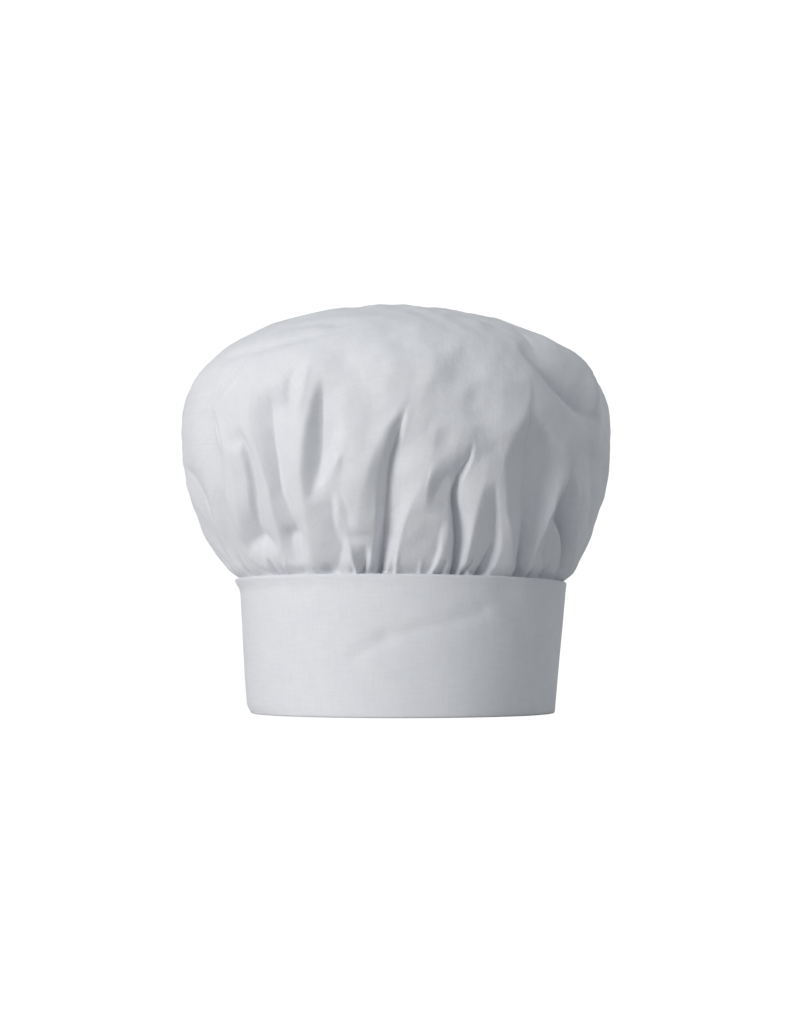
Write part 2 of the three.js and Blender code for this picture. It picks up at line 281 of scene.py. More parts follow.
def crown_shift(height):
    """How far the crown's middle stands towards +X: the band's shift at the seam, none at the widest ring,
    and the crest's shift at the top, with smooth steps between them."""
    seam_share = 1 - smooth(BAND_HEIGHT, WIDEST_HEIGHT, height)
    crest_share = smooth(WIDEST_HEIGHT, TOP_HEIGHT, height) ** 3
    return BAND_SECTIONS[-1]["shift"] * seam_share + CREST_SHIFT * crest_share


def plain_point(azimuth, angle):
    """Points of the plain form: an oval at each height that turns from the seam's to a circle."""
    half_width, height = profile(angle)
    seam_share = 1 - smooth(BAND_HEIGHT, WIDEST_HEIGHT, height)
    seam_width, seam_depth, _ = band_section(BAND_HEIGHT)
    depth_share = 1 + (seam_depth / seam_width - 1) * seam_share
    a = np.radians(azimuth)
    return np.stack([
        crown_shift(height) + half_width * np.sin(a),
        -half_width * depth_share * np.cos(a),
        height + seam_rise(azimuth) * seam_share,
    ], axis=-1)


def outward(azimuth, angle, step=0.5):
    """The plain form's unit normal: the cross product of its steps round and up."""
    up = plain_point(azimuth, np.minimum(angle + step, 89.99)) - plain_point(azimuth, angle - step)
    round_ = plain_point(azimuth + step, angle) - plain_point(azimuth - step, angle)
    normal = np.cross(round_, up)
    return normal / np.linalg.norm(normal, axis=-1, keepdims=True)


# %% [markdown]
# ## The folds
# Gathered cloth stands up from its seam in folds. Each fold is a crease with a wall on either side of it
# that climbs to a ridge, and the ridges keep the plain form's outline. A cloth simulation makes such folds,
# but not these ones. So the lines of the creases and the ridges are listed, each as some places on the
# plain form: an azimuth, a height over the seam, and how deep the cloth lies there. The walls between the
# lines follow from those. The light comes from the left, so a crease's left wall is in shade.

# %% The creases at the front, from the left to the right
FRONT_CREASES = [
    [(-71, 0, 2), (-72.5, 9, 3), (-74, 19, 3.4), (-71.5, 28, 3.6), (-69, 39, 3.6), (-69, 49, 3.4),
     (-72.5, 58, 2.5), (-79, 66, 1), (-84, 72, 0)],
    [(-67, 0, 3), (-68, 10, 3.2), (-66, 17, 4), (-61, 30, 3.6), (-57, 42, 3), (-53.5, 53, 2.4),
     (-52.5, 67, 2.2), (-54.5, 81, 3), (-55, 88, 2.2), (-55.3, 92, 0)],
    [(-53.5, 0, 2.5), (-50.5, 10, 3), (-48, 22, 6), (-46, 30, 7.5), (-44.2, 40, 7.8), (-42.8, 51, 7),
     (-42, 63, 6), (-42.3, 72, 4.8), (-42.7, 78, 2), (-42.7, 81, 0)],
    [(-34.5, 0, 3.5), (-34, 9, 4), (-32.5, 19, 5), (-32, 25, 4.8), (-32.5, 34, 4.6), (-33.5, 43, 6.6),
     (-33.5, 54, 8), (-33.5, 70, 8.2), (-33.5, 86, 7.2), (-33.2, 93, 5), (-33, 98, 1.4),
     (-33, 101, 0)],
    [(-24, 38, 1.6), (-23.2, 44, 4.2), (-22, 50, 7.6), (-20.5, 62, 9.3), (-19.5, 81, 8.5),
     (-19, 92, 6), (-18, 99, 3), (-17.5, 103, 0)],
    [(-21, 46, 5.6), (-19.5, 53, 6.8), (-18, 61, 7.6), (-17, 69, 7.8), (-16.5, 77, 7.3),
     (-16.5, 87, 6), (-17, 96, 3), (-17.2, 101, 0.5)],
    [(-23, 0, 5), (-22, 4, 6.8), (-19, 10, 6.2), (-18, 16, 5), (-19.5, 22, 5), (-19, 29, 5),
     (-18.3, 38, 3.8), (-17.6, 46, 2.3), (-17, 52, 1.5)],
    [(-13.8, 0, 6), (-12.5, 5, 8), (-11.6, 10, 6), (-11.6, 14, 2.5)],
    [(-9.3, 0, 10), (-8.2, 3, 14), (-7.1, 8, 14.5), (-5.9, 18, 13.5), (-4.9, 27, 12), (-4, 36, 12),
     (-2.5, 53, 11), (-1.5, 61, 10), (0, 70, 8), (1, 78, 4.5), (2, 85, 1), (2.2, 88, 0)],
    [(7.5, 0, 4), (9, 3, 4.5), (10.5, 10, 4.2), (10.5, 21, 3.4), (11, 26, 3), (12, 31, 3)],
    [(17, 0, 13), (17.3, 5, 14), (17, 13, 14), (16, 20, 14), (15.3, 28, 13.5), (14.8, 35, 13),
     (14.7, 42, 12), (15.5, 48, 10), (16.8, 54, 8), (18, 60, 5), (18.3, 65, 1.8), (18.5, 68, 0)],
    [(28.5, 0, 9), (29.2, 4, 10), (29.3, 12, 8.2), (28.4, 21, 6.2), (27.2, 30, 4.6), (26.3, 38, 3),
     (25.2, 46, 1), (24.6, 50, 0)],
    [(45, 0, 11), (44.5, 3, 12.5), (42.5, 10, 13), (41, 24, 13), (39.5, 34, 13), (38, 45, 13),
     (38, 56, 12.5), (37.5, 65, 11.5), (36.7, 73, 8.5), (35.7, 81, 4.5), (35, 86, 1.5), (34.8, 89, 0)],
    [(42.3, 28, 11.5), (42.6, 34, 12), (43.2, 45, 12), (44, 56, 11.5), (44.2, 62, 10.5),
     (42.5, 70, 8.5), (39.5, 78, 6)],
    [(60.5, 0, 7), (58, 7, 9.5), (54, 14, 9.5), (50.5, 22, 7), (48.5, 28, 4)],
    [(71, 0, 5), (68, 8, 10), (64, 15, 14.5), (60.5, 22, 17.5), (57.7, 30, 18), (56, 39, 15),
     (54.6, 48, 9), (53, 55, 3.5), (51.8, 60, 1)],
    [(80, 0, 1), (73, 25, 1.5), (67, 42, 2.2), (63, 58, 3), (61.5, 68, 3.2), (60, 76, 0)],
]
print("creases at the front:", len(FRONT_CREASES))

# %% [markdown]
# Between two creases lies a ridge, and where the wall has a bend of its own, a second line. A depth of 0
# keeps the outline, more lies under it, and less than 0 stands out from it. Where a ridge crosses a crease,
# the wall between them turns over and shows as a dark jag, so the two are kept apart.

# %% The ridges at the front
FRONT_RIDGES = [
    [(-86, 0, -0.3), (-85, 15, -2.4), (-83, 45, -1.8), (-84, 62, -1), (-86, 80, 0), (-90, 90, 0)],
    [(-69.5, 0, 1), (-70.5, 10, 0.5), (-71, 19, 0), (-67, 30, 0), (-63, 42, 0), (-61, 55, 0),
     (-61, 70, 0), (-62, 100, 0)],
    [(-58, 0, 1.5), (-55, 17, 0), (-52, 29, 0), (-49.5, 45, 0), (-48.5, 66, 0), (-50, 80, 0),
     (-50, 100, 0)],
    [(-49.3, 25, 4.6), (-47, 32, 3.6), (-45.3, 40, 2.9), (-44, 48, 2.5), (-43, 59, 2), (-43, 70, 1)],
    [(-41, 0, 1.5), (-39, 14, 1), (-37, 30, 0), (-36, 45, 0), (-37, 60, 0), (-39, 79, 0),
     (-38, 110, 0)],
    [(-31, 0, 1.5), (-28.5, 10, 1), (-27, 25, 0.5), (-26, 42, 0), (-25, 55, 0), (-23.5, 70, 0),
     (-22, 82, 0), (-20, 95, 0), (-19, 110, 0)],
    [(-21.5, 38, 3.2), (-20.2, 44, 3.2), (-19, 48, 2.3), (-17, 53, 1.5), (-14.5, 60, 0)],
    [(-15, 0, 2), (-15, 14, 1.4), (-15.5, 19, 2.2), (-17.5, 23, 1.8), (-17.5, 28, 1.2),
     (-16.5, 36, 1.2), (-14.5, 50, 1.8), (-13.8, 61, 2.2), (-12, 74, 2.4), (-12.5, 88, 1.6),
     (-13.5, 100, 0.6), (-14, 112, 0)],
    [(-13, 21, 0.6), (-12, 28, 0), (-11, 36, 0), (-8, 51, 0), (-5, 67, 0), (-1, 80, 0), (1.5, 86, 0),
     (3, 95, 0)],
    [(-12.2, 0, 4), (-10.7, 4, 3.2), (-9.3, 9, 2.6), (-8.7, 13, 2.8)],
    [(-11.2, 0, 5), (-9.9, 3, 4.6), (-8.9, 11, 3.8), (-7.5, 19, 3.8), (-7, 27, 3.2), (-6.5, 36, 2.9),
     (-6, 45, 2.7), (-4.5, 55, 2.2), (-3, 66, 1.4), (-2, 73, 0.6)],
    [(-3.8, 0, 4.5), (-3.2, 7, 5), (-2.2, 15, 6), (-0.8, 27, 6.5), (0, 36, 6.5), (0.2, 46, 6.5),
     (0.6, 56, 6), (1.4, 66, 5), (2.2, 75, 2.8), (2.7, 84, 0.8), (3.2, 95, 0)],
    [(-2.4, 0, 2.5), (-1.8, 10, 2.2), (-0.6, 20, 1.9), (1.2, 29, 1.6), (3.6, 38, 1.2), (6.3, 46, 0.8),
     (8, 56, 0.4), (9, 66, 0), (9.5, 80, 0)],
    [(10, 0, 2.5), (11.5, 6, 2), (12.5, 13, 2), (12.8, 20, 2.2), (13, 26, 2.8), (13.3, 30, 4)],
    [(6, 34, 0.8), (6.8, 40, 0.4), (7.2, 49, 0), (8.6, 56, 0), (10.6, 60, 0), (13.4, 63.5, 0),
     (17, 66.5, 0), (19, 69, 0)],
    [(7.5, 32, 1.2), (8.8, 39, 2.0), (10, 44, 3.0), (12.3, 50, 4), (15, 53.5, 4.6), (17, 59, 3.8),
     (18.2, 64, 1.3)],
    [(15.5, 0, 4), (14.8, 10, 3.5), (14.8, 17, 3.5), (14.2, 24, 4), (13.3, 31, 4), (12.9, 37, 3.6),
     (13.3, 43, 3.6), (14.4, 50, 5)],
    [(19, 0, 4.5), (18.8, 11, 4), (19, 18, 4), (18.5, 25, 4.2), (17.5, 30, 4.8), (16.4, 36, 5),
     (16.2, 43, 4.5), (16.9, 49, 3.5), (18, 56, 2), (18.8, 61, 1), (19.3, 66, 0.4), (20, 75, 0)],
    [(20.5, 0, 4), (20, 7, 2.5), (20, 20, 1.5), (20.3, 30, 0.8), (21, 39, 0), (22, 50, 0), (23, 58, 0),
     (25, 70, 0)],
    [(29.9, 0, 4), (30.8, 7, 3.5), (30.5, 14, 2.5), (29.3, 21, 2), (27.8, 29, 1.8), (26.6, 37, 1.2),
     (25.3, 46, 0.3), (25, 55, 0)],
    [(39, 0, 2.5), (36.5, 8, 1.8), (34.5, 15, 1), (32.5, 22, 0.5), (29.5, 33, 0), (28.5, 43, 0),
     (27, 55, -0.2), (27, 62, -0.8), (28.5, 71, -1.6), (31, 78, -2.2), (33.2, 86, -1.8),
     (34.2, 94, -0.8), (35, 108, 0)],
    [(46.5, 0, 5), (46, 6, 4), (45.5, 12, 3.5), (45.5, 20, 3), (46, 30, 2.6), (46.6, 40, 2.4),
     (48.3, 47, 2), (50.3, 54, 1.6), (51, 60, 1.3), (49.3, 66, 0.8), (44.5, 73, 0.2), (40, 80, 0),
     (37, 88, 0), (36, 94, 0), (36, 108, 0)],
    [(66, 0, 4), (63, 8, 4), (60, 15, 4), (56.5, 20, 4), (53, 25, 4.3), (48.8, 29, 4)],
    [(75, 0, 1.5), (72, 5, 1), (67, 13, 0.5), (62.8, 22, 0.2), (60, 30, 0), (58.3, 39, 0), (57, 47, 0),
     (55.5, 54, 0), (53, 61, 0), (47.5, 71, 0), (43, 79, 0), (39.5, 86, 0), (36, 92, 0), (35, 97, 0)],
    [(83, 0, 0.5), (82, 20, 1.6), (82, 34, 1.6), (81, 50, 0.4), (80, 60, 0), (76, 90, 0),
     (74, 110, 0)],
]
print("ridges at the front:", len(FRONT_RIDGES))

# %% [markdown]
# The back isn't in the photograph, so plain folds do there. Each row of a table makes a crease, by its
# azimuth at the foot, the middle and the head, its height and its depth, and the ridge after it.

# %% The folds at the back
BACK_FOLDS = table("foot middle head top deep ridge", [
    (91, 88, 86, 78, 9, 97),
    (104, 100, 97, 88, 9, 111),
    (116, 118, 121, 66, 11, 123),
    (129, 133, 134, 96, 11, 138),
    (143, 144, 141, 48, 7, 149),
    (156, 153, 155, 90, 13, 163),
    (168, 170, 172, 58, 9, 175),
    (181, 184, 181, 102, 12, 189),
    (194, 196, 199, 54, 9, 200),
    (207, 208, 213, 92, 12, 215),
    (220, 223, 222, 74, 9, 227),
    (233, 234, 231, 106, 11, 240),
    (245, 247, 249, 62, 10, 251),
    (257, 258, 260, 92, 9, 264),
])
BACK_CREASES = [[
    (f["foot"], 0, 5),
    (f["middle"], f["top"] * 0.4, f["deep"]),
    (f["head"], f["top"] * 0.85, f["deep"] / 2),
    (f["head"], f["top"], 0),
] for f in BACK_FOLDS]
BACK_RIDGES = [[
    (f["ridge"], 0, 1),
    (f["ridge"] + (f["middle"] - f["foot"]) / 2, 35, 0),
    (f["ridge"], 110, 0),
] for f in BACK_FOLDS]
print("folds at the back:", len(BACK_FOLDS))

# %% The depth between the lines
CREASE_LINES = [np.array(line, dtype=float) for line in FRONT_CREASES + BACK_CREASES]
RIDGE_LINES = [np.array(line, dtype=float) for line in FRONT_RIDGES + BACK_RIDGES]
WALL_ROLL = 1.3  # 1 would be a straight wall, and more gives a rounder ridge and a sharper crease


def row_depths(azimuth, height):
    """The depth along one row of the grid. Each line that passes the row's height gives it a place and a
    depth. Between two neighbours the depth goes from the shallower one to the deeper one with the power
    1.3 of the share of the way."""
    lines = [line for line in CREASE_LINES + RIDGE_LINES if line[0, 1] <= height <= line[-1, 1]]
    if not lines:
        return np.zeros_like(azimuth)
    places = np.array([np.interp(height, line[:, 1], line[:, 0]) for line in lines]) % 360
    depths = np.array([np.interp(height, line[:, 1], line[:, 2]) for line in lines])
    order = np.argsort(places)
    places, depths = places[order], depths[order]
    places = np.concatenate([places[-1:] - 360, places, places[:1] + 360])
    depths = np.concatenate([depths[-1:], depths, depths[:1]])
    index = np.clip(np.searchsorted(places, azimuth % 360, side="right"), 1, len(places) - 1)
    first, last = depths[index - 1], depths[index]
    t = (azimuth % 360 - places[index - 1]) / np.maximum(places[index] - places[index - 1], 1e-6)
    shallow, deep = np.minimum(first, last), np.maximum(first, last)
    return shallow + (deep - shallow) * np.where(last > first, t, 1 - t) ** WALL_ROLL


def soften(depths):
    """The depths evened along the folds and left sharp across them: each place takes a quarter of the row
    below, a half of its own row and a quarter of the row above."""
    padded = np.pad(depths, ((1, 1), (0, 0)), mode="edge")
    return (padded[:-2] + 2 * depths + padded[2:]) / 4


# %% [markdown]
# A crease that crosses the columns of a grid gets a stepped edge. So the columns slant as the main creases
# do, and a fold's line runs along a column and stays crisp.

# %% How the grid slants
MAIN_CREASE_HEIGHT = 60
SLANT_LINES = [line for line in CREASE_LINES if line[0, 1] == 0 and line[-1, 1] >= MAIN_CREASE_HEIGHT]
SLANT_LINES.sort(key=lambda line: line[0, 0] % 360)
print("creases that the grid slants with:", len(SLANT_LINES))


def column_azimuth(start, heights):
    """The azimuth of each column at each row's height: its start with the slant that the main creases
    beside it have there, taken on a straight line between them."""
    feet = np.array([line[0, 0] % 360 for line in SLANT_LINES])
    slants = [np.interp(heights, line[:, 1], line[:, 0]) - line[0, 0] for line in SLANT_LINES]
    rows = [np.interp(start % 360, feet, slant, period=360) for slant in np.transpose(slants)]
    return start[None, :] + np.stack(rows)


# %% [markdown]
# ## Small creases
# On top of the folds there are small creases that don't reach from the seam to a ridge, and the pleats that
# the gathering thread draws in at the seam. Each one is a curve through three places on the cloth, with a
# width on its left and one on its right, seen along the curve. A negative depth makes a ridge. The last
# column says how round its bottom is: 2 makes a soft hollow, and 1 a sharp one.

# %% The small creases, first those at the front
CURVE_COLUMNS = "azimuth_a height_a azimuth_b height_b azimuth_c height_c depth left right roundness"
CREASES = table(CURVE_COLUMNS, [
    (-4, 88, -9, 105, -16, 124, 2.2, 16, 12, 1.6),
    (20, 72, 19, 96, 15, 120, 2.7, 32, 28, 1.8),
    (-26, 78, -27.4, 94, -25.5, 112, 3.2, 4, 4, 1.3),
    (-24.3, 80, -22.6, 100, -21.5, 118, -2.4, 4, 5, 1.3),
    (-30, 102, -28, 79, -27, 56, 0.7, 2, 2, 1.2),
    (64, 90, 48.5, 101, 36, 126, 8, 8, 13, 1.2),
    (43, 135, 60, 117, 58, 85, -6, 13, 18, 1.3),
    (60, 140, 73, 116, 70, 86, 3, 10, 10, 1.3),
    (-66, 82, -53, 100, -44, 122, 2.4, 3, 3.5, 1.2),
    (-55, 93, -51.8, 83, -50, 68, 1.6, 1.8, 2.6, 1.2),
    (-61, 126, -40, 126, -14, 134, 1.8, 3, 4, 1.2),
    (-42, 141, -26, 139, -10, 138, 1.0, 3, 3, 1.3),
    (43, 4, 46, 32, 49, 66, -1.3, 3.5, 3.5, 1.2),
    (-56, 12, -48.5, 19, -40, 14, 5, 7.5, 8, 1.4),
    (-55.5, 13, -53.2, 34, -51, 62, -1.7, 5, 1.8, 1.3),
    (-76, 13, -71.5, 34, -69.5, 52, -1.3, 2.2, 2.2, 1.3),
    (-28.5, 18, -35.5, 19, -34.5, 6, 5, 10, 8, 1.3),
    (-16, 46, -15, 36, -14, 26, 1.5, 2, 3, 1.3),
    (-17, 33, -15, 31, -13, 26, 1.0, 1.5, 1.5, 1.2),
    (-4.2, 28, -2.5, 30, -0.5, 33, 1.0, 1.5, 1.5, 1.2),
    (92, 88, 100, 108, 112, 126, 3.0, 12, 10, 1.4),
    (118, 120, 136, 132, 156, 134, 4, 12, 12, 1.6),
    (168, 130, 184, 114, 200, 102, 4, 10, 12, 1.5),
    (-132, 102, -116, 122, -104, 136, 4, 11, 11, 1.6),
    (156, 158, 180, 150, -146, 156, 3, 14, 14, 1.8),
    (-104, 90, -94, 108, -84, 122, 2.5, 9, 11, 1.5),
])
print("small creases:", len(CREASES))

# %% [markdown]
# The pleats at the front follow the photograph. Those at the back come from a random generator with a fixed
# seed, so they are uneven, and the same each time.

# %% The pleats at the seam
PLEATS = table(CURVE_COLUMNS, [
    (-60, 0, -61, 8, -61.5, 17, -1.8, 3, 3, 1.5),
    (-51.5, 0, -55.5, 5, -57.5, 11, 2.5, 1.5, 1.5, 1.3),
    (-48.3, 0, -48, 5, -47.6, 9, 5.5, 3.2, 3.2, 2.0),
    (-42.5, 0, -42.7, 4, -43, 8, 2.5, 1.3, 1.3, 1.2),
    (-42, 0, -40.5, 4, -39, 9, -2.0, 1.5, 1.5, 1.3),
    (-30, 0, -31, 4, -32, 9, -2.0, 1.5, 1.5, 1.3),
    (-25, 0, -25, 3, -25, 6, 3.0, 4.5, 4.5, 2.0),
    (-20.8, 0, -21.6, 3, -23.2, 7, -1.8, 1.3, 1.3, 1.3),
    (-14.5, 0, -15.5, 11, -16, 23, -3.0, 5.5, 1.4, 1.3),
    (-17, 0, -16.5, 3, -16, 6, 2.5, 1.6, 1.6, 1.5),
    (-14.9, 0, -14.4, 3, -14.2, 8, -1.8, 1.1, 1.1, 1.3),
    (-8, 0, -7.6, 10, -6.6, 21, 4.5, 2.8, 1.6, 1.5),
    (-5.6, 0, -5.4, 3, -5.2, 8, -2.4, 1.1, 1.1, 1.3),
    (-2.2, 0, -2, 7, -1.6, 16, -1.8, 1.2, 1.5, 1.3),
    (-3.7, 0, -3.5, 5, -3.2, 11, 2.5, 1.2, 1.2, 1.3),
    (5.5, 0, 5.5, 4, 5.8, 8, -2.0, 1.5, 2.5, 1.3),
    (9, 0, 11, 9, 12, 25, -1.8, 1.6, 1.6, 1.3),
    (12.3, 0, 13, 4, 14, 8, 3.5, 1.5, 1.5, 1.3),
    (20.5, 0, 21.5, 4, 23.5, 10, 5.0, 1.8, 1.8, 1.3),
    (26.5, 0, 27.6, 8, 28.8, 17, 6.5, 2.2, 2.2, 1.5),
    (43, 0, 42, 9, 41, 18, 6.0, 1.8, 1.8, 1.4),
    (50, 0, 49.3, 3, 48, 6, 4.5, 1.5, 1.5, 1.3),
    (59.5, 0, 59.6, 4, 60.5, 9, 5.0, 1.8, 1.8, 1.3),
    (64, 0, 63, 8, 64, 15, -1.6, 1.4, 1.4, 1.3),
    (70, 0, 69, 7, 69, 15, -1.4, 1.3, 1.3, 1.3),
])
BACK_PLEATS_FROM, BACK_PLEATS_TO, BACK_PLEAT_STEP = 77, 286, 4.7
PLEAT_SEED = 11
rng = np.random.default_rng(PLEAT_SEED)
feet = np.arange(BACK_PLEATS_FROM, BACK_PLEATS_TO, BACK_PLEAT_STEP)
count = len(feet)
feet = feet + rng.uniform(-1.3, 1.3, count)
turns, tops = rng.normal(0, 1.8, count), rng.uniform(7, 20, count)
depths = rng.uniform(2.0, 4.2, count)
lefts, rights = rng.uniform(1.5, 3.2, count), rng.uniform(1.5, 3.2, count)
PLEATS += table(CURVE_COLUMNS, zip(feet, np.zeros(count), feet + turns / 2, tops / 2, feet + turns, tops,
                                   depths, lefts, rights, np.full(count, 1.3)))
print("pleats:", len(PLEATS), "of which at the back:", count)


# %% How deep a small crease lies
CURVE_STEPS = 12
REACH_IN_WIDTHS = 3
LOW_SCALE = 1.4  # mm for a degree of azimuth, a low value for most of the puff


def between(low, middle, high, u):
    """The parabola through a low value at u = 0, a middle one at 0.5 and a high one at 1."""
    return low * (1 - u) * (1 - 2 * u) + 4 * middle * u * (1 - u) + high * u * (2 * u - 1)


def curve_depths(rows, azimuth, height, scale, fade):
    """The depth of all the rows together. Each row's depth fades as exp(-(1.6 distance / width)^roundness),
    and with the fade along its curve. The distance is taken on the cloth laid flat, to the nearest of the
    curve's steps, with the scale as mm for a degree of azimuth."""
    inwards = np.zeros_like(height)
    share = np.linspace(0, 1, CURVE_STEPS + 1)
    for row in rows:
        middle = row["azimuth_a"] + turn(row["azimuth_a"], row["azimuth_b"])
        end = middle + turn(middle, row["azimuth_c"])
        curve_azimuth = between(row["azimuth_a"], middle, end, share)
        curve_height = between(row["height_a"], row["height_b"], row["height_c"], share)
        reach = REACH_IN_WIDTHS * max(row["left"], row["right"])
        away = turn(middle, azimuth)
        near = np.abs(away) < np.abs(turn(row["azimuth_a"], row["azimuth_c"])) + reach / LOW_SCALE
        near &= (height > curve_height.min() - reach) & (height < curve_height.max() + reach)
        if not near.any():
            continue
        x, y = away[near] * scale[near], height[near]
        px, py = turn(middle, curve_azimuth)[:, None] * scale[near], curve_height[:, None]
        dx, dy = np.diff(px, axis=0), np.diff(py, axis=0)
        t = np.clip(((x - px[:-1]) * dx + (y - py[:-1]) * dy) / (dx * dx + dy * dy), 0, 1)
        off_x, off_y = x - px[:-1] - t * dx, y - py[:-1] - t * dy
        to_steps = np.hypot(off_x, off_y)
        step = np.argmin(to_steps, axis=0)
        place = np.arange(len(step))
        distance, side = to_steps[step, place], (dx * off_y - dy * off_x)[step, place]
        width = np.where(side > 0, row["left"], row["right"])
        depth = row["depth"] * np.exp(-(1.6 * distance / width) ** row["roundness"])
        inwards[near] += depth * fade((step + t[step, place]) / CURVE_STEPS)
    return inwards


# %% [markdown]
# Cloth that has been worn is never quite even. A displacement modifier with a noise texture would do. A sum
# of many weak waves, with directions and phases from a seeded generator, is a formula like the rest, and is
# easily held back at the seam.

# %% The soft unevenness
UNEVEN_WAVES = 36
UNEVEN_DEPTH = 0.085
UNEVEN_SHORTEST, UNEVEN_LONGEST = 9, 32
UNEVEN_SEED = 5


def unevenness(points, normals):
    """The sum of the waves, each a sine of the way along its heading on the plane across one axis, as deep
    as its length asks. The three planes are weighted with the square of the normal's part along their
    axis, so that the waves run on round the form without a join."""
    rng = np.random.default_rng(UNEVEN_SEED)
    length = rng.uniform(UNEVEN_SHORTEST, UNEVEN_LONGEST, UNEVEN_WAVES)
    heading = rng.uniform(0, np.pi, UNEVEN_WAVES)
    phase = rng.uniform(0, 2 * np.pi, UNEVEN_WAVES)
    total = np.zeros(points.shape[:-1])
    for axis, (across, up) in enumerate([(1, 2), (0, 2), (0, 1)]):
        for k in range(UNEVEN_WAVES):
            along = points[..., across] * np.cos(heading[k]) + points[..., up] * np.sin(heading[k])
            wave = UNEVEN_DEPTH * (length[k] / 20) * np.sin(2 * np.pi * along / length[k] + phase[k])
            total = total + wave * normals[..., axis] ** 2
    return total


# %% [markdown]
# Now the folds, pleats, creases and waves come together. Near the seam they are held back: the cloth can't
# lie much further in than the seam lets it, it comes up a little behind the band's edge, and it moves level
# there, so that it never dips into the band.

# %% The folded crown
SEAM_ROOM = 12
SEAM_GIVE = 0.15  # the share that is left of what lies past the seam's room
SEAM_TURN = 3.2  # how much further in the cloth comes up behind the band's edge
SEAM_TURN_TO = 5.5
LEVEL_TO = 30  # under this height the cloth moves more level than its normal points
EVEN_TO = 12  # up to here the waves are weaker


def crown_surface(azimuth, angles):
    """Points of the folded crown: the plain form, moved in along its normal by the depths. Along its curve a
    pleat fades as (1 - s^2)^1.3, from its foot at the seam, and a crease as sin(pi s)^0.8."""
    plain = plain_point(azimuth, angles[:, None])
    rows = profile(angles)[1] - BAND_HEIGHT
    height = np.broadcast_to(rows[:, None], azimuth.shape)
    scale = np.radians(np.hypot(plain[..., 0] - crown_shift(plain[..., 2]), plain[..., 1]))
    inwards = soften(np.stack([row_depths(line, h) for line, h in zip(azimuth, rows)]))
    inwards = inwards + curve_depths(PLEATS, azimuth, height, scale, lambda s: (1 - s * s) ** 1.3)
    inwards = inwards + curve_depths(CREASES, azimuth, height, scale, lambda s: np.sin(np.pi * s) ** 0.8)
    room = SEAM_ROOM + np.clip(height, 0, None)
    inwards = np.where(inwards > room, room + (inwards - room) * SEAM_GIVE, inwards)
    inwards = inwards + SEAM_TURN * (1 - np.clip(height / SEAM_TURN_TO, 0, 1)) ** 1.5
    direction = outward(azimuth, angles[:, None])
    inwards = inwards + smooth(0, EVEN_TO, height) * unevenness(plain, direction)
    print("the deepest crease lies", round(float(inwards.max()), 1), "mm in")
    direction[..., 2] *= smooth(0, LEVEL_TO, height)
    direction /= np.linalg.norm(direction, axis=-1, keepdims=True)
    return plain - direction * inwards[..., None]


# %% [markdown]
# The mesh has its columns closest at the front, where the photograph shows the folds, and its rows closest
# at the seam, where the gathers are. Its uv are the places on the flat round that the crown is cut from, so
# the weave follows the cloth.

# %% Make the crown's mesh
CROWN_ROWS = 95
LAST_ANGLE = 89.2  # the row that the crest's fan of triangles joins to
SEAM_CROWDING = 0.55  # 0 spaces the rows evenly, and 1 puts twice as many at the seam and none at the crest
BACK_FROM, BACK_TO = 95, 265
FRONT_STEP, BACK_STEP = 0.52, 1.26  # degrees between the columns
FLAT_RADIUS = 272  # of the round that the crown is cut from, seam allowance and all
TURN_OVER = 2  # mm of cloth from the seam allowance, over the band's edge, to the puff


def crown_rows():
    """Profile angles from the seam to near the crest. Their spacing is a mix of an even one and of one that
    goes with 1 - (1 - share)^2 of the way along the profile. Gives the way to each row and in all, too."""
    fine = np.linspace(SEAM_ANGLE, LAST_ANGLE, 4000)
    width, height = profile(fine)
    along = np.concatenate([[0], np.cumsum(np.hypot(np.diff(width), np.diff(height)))])
    share = along / along[-1]
    spaced = (1 - SEAM_CROWDING) * share + SEAM_CROWDING * (1 - (1 - share) ** 2)
    rows = np.interp(np.linspace(0, 1, CROWN_ROWS), spaced, fine)
    return rows, np.interp(rows, fine, along), along[-1]


def make_crown():
    """The seam allowance inside the band, then the puff, then a fan of triangles to the crest."""
    angles, along, length = crown_rows()
    back, front = np.arange(BACK_FROM, BACK_TO, BACK_STEP), np.arange(BACK_TO, BACK_FROM + 360, FRONT_STEP)
    start = np.concatenate([back, front])
    azimuth = column_azimuth(start, profile(angles)[1] - BAND_HEIGHT)
    puff = crown_surface(azimuth, angles)
    tuck_heights = BAND_HEIGHT - np.array([TUCK, 5, 1.3])  # from its cut edge up
    tuck = band_point(start[None, :], tuck_heights[:, None], BAND_WALL + SEAM_GAP)
    points = np.vstack([tuck, puff])
    from_crest = np.concatenate([length + BAND_HEIGHT + TURN_OVER - tuck_heights, length - along])
    reach = from_crest / (length + TUCK) * FLAT_RADIUS
    spread = np.radians(np.append(start, BACK_FROM + 360))
    uv = np.stack([reach[:, None] * np.sin(spread), -reach[:, None] * np.cos(spread)], axis=-1) * MM
    crest = (plain_point(0.0, 89.95), np.zeros(2))
    return new_piece("crown_cloth", grid_mesh("crown_cloth", points, uv, pole=crest))


crown = make_crown()
print("crown:", len(crown.data.polygons), "faces")

# %% [markdown]
# ## Cloth finish
# Close up, the cloth is a plain weave with a few thicker threads, called slubs. From here it is almost
# smooth, with a faint sheen. An image of cloth would do, but nodes stay sharp at any size, without a join.
# One node group draws the weave, and both pieces use it with their own thread.


# %% Helpers for nodes
def add(tree, kind, inputs=(), **settings):
    """A new node in the tree, with values or links put into its inputs."""
    node = tree.nodes.new(kind)
    for name, value in settings.items():
        setattr(node, name, value)
    for socket, value in dict(inputs).items():
        if isinstance(value, bpy.types.NodeSocket):
            tree.links.new(value, node.inputs[socket])
        else:
            node.inputs[socket].default_value = value
    return node


